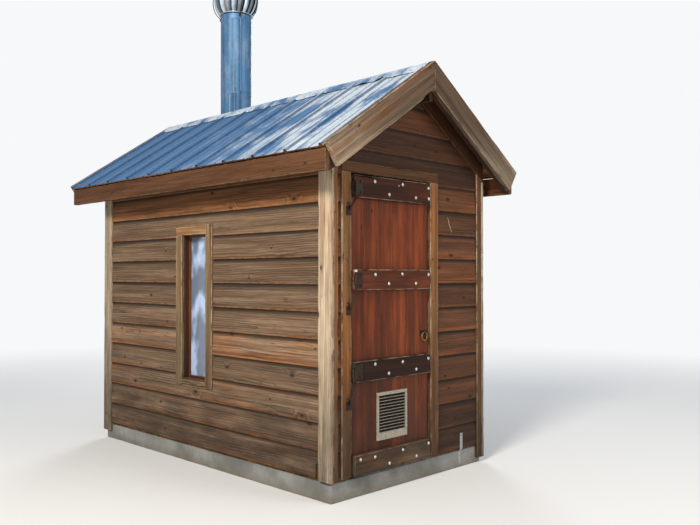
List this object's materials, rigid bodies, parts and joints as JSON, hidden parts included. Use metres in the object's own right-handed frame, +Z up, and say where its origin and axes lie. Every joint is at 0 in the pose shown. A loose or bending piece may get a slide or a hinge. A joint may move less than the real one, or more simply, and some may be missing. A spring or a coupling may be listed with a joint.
{
  "type": "wooden outhouse",
  "caption": "Small gabled lap-sided privy with an outward-opening plank door, a tall side window, a ribbed metal roof and a vent stack that carries a spinning turbine head.",
  "frame": {"origin": "centre of the building's footprint at the lowest ground level, on the underside of the concrete base", "axes": "+Z up, the door wall faces -Y and the wall with the window faces -X"},
  "size_m": [2.156, 3.5126, 4.5116],
  "materials": {
    "concrete": "rough cast concrete",
    "framing": "bare sawn softwood",
    "stained_siding": "dark brown stained boards",
    "weathered_siding": "weathered grey-brown boards",
    "trim": "weathered tan boards",
    "door_wood": "reddish brown stained planks",
    "window_wood": "weathered yellowish boards",
    "louvre": "dull light grey",
    "iron": "dark weathered iron",
    "glass": "frosted",
    "roof_metal": "weathered blue-grey galvanised sheet",
    "galvanised": "weathered galvanised sheet"
  },
  "bodies": {
    "building": {"foundation_slab": "concrete", "front_wall_left": "framing", "front_wall_right": "framing", "front_gable_wall": "framing", "left_wall_front": "framing", "left_wall_rear": "framing", "left_wall_over_window": "framing", "left_wall_under_window": "framing", "right_wall": "framing", "rear_wall": "framing", "front_siding": "stained_siding", "left_siding": "weathered_siding", "right_siding": "weathered_siding", "rear_siding": "stained_siding", "corner_boards_front": "trim", "corner_boards_rear": "trim", "door_casings": "trim", "door_jambs": "trim", "hinge_pintles": "iron", "window_casing": "window_wood", "window_frame": "window_wood", "window_sash": "window_wood", "window_glass": "glass", "rafters": "framing", "ridge_board": "framing", "roof_deck_left": "framing", "roof_deck_right": "framing", "roof_sheet_left": "roof_metal", "roof_sheet_right": "roof_metal", "ridge_cap": "roof_metal", "fascia_boards": "trim", "barge_boards_front": "trim", "barge_boards_rear": "trim", "frieze_boards": "stained_siding", "vent_stack": "galvanised", "stack_flashing": "galvanised", "turbine_collar": "galvanised", "turbine_braces": "iron", "tie_strap": "galvanised"},
    "door": {"door_planks": "door_wood", "door_battens": "door_wood", "door_kick_board": "door_wood", "door_vent_frame": "louvre", "door_vent_louvres": "louvre", "door_pull_plate": "iron", "hinge_straps": "iron"},
    "pull_ring": {"door_pull_ring": "iron"},
    "turbine": {"turbine_head": "galvanised"}
  },
  "joints": [
    {"name": "door_hinge", "type": "hinge", "parent": "building", "child": "door", "pos_m": [-0.6554, -1.556, 0.15], "axis": [0, 0, -1], "range_deg": [0, 110]},
    {"name": "ring_swing", "type": "hinge", "parent": "door", "child": "pull_ring", "pos_m": [0.105, -1.522, 1.0778], "axis": [-1, 0, 0], "range_deg": [0, 75]},
    {"name": "turbine_spin", "type": "hinge", "parent": "building", "child": "turbine", "pos_m": [0.384, 1.165, 4.135], "axis": [0, 0, 1], "continuous": true}
  ]
}
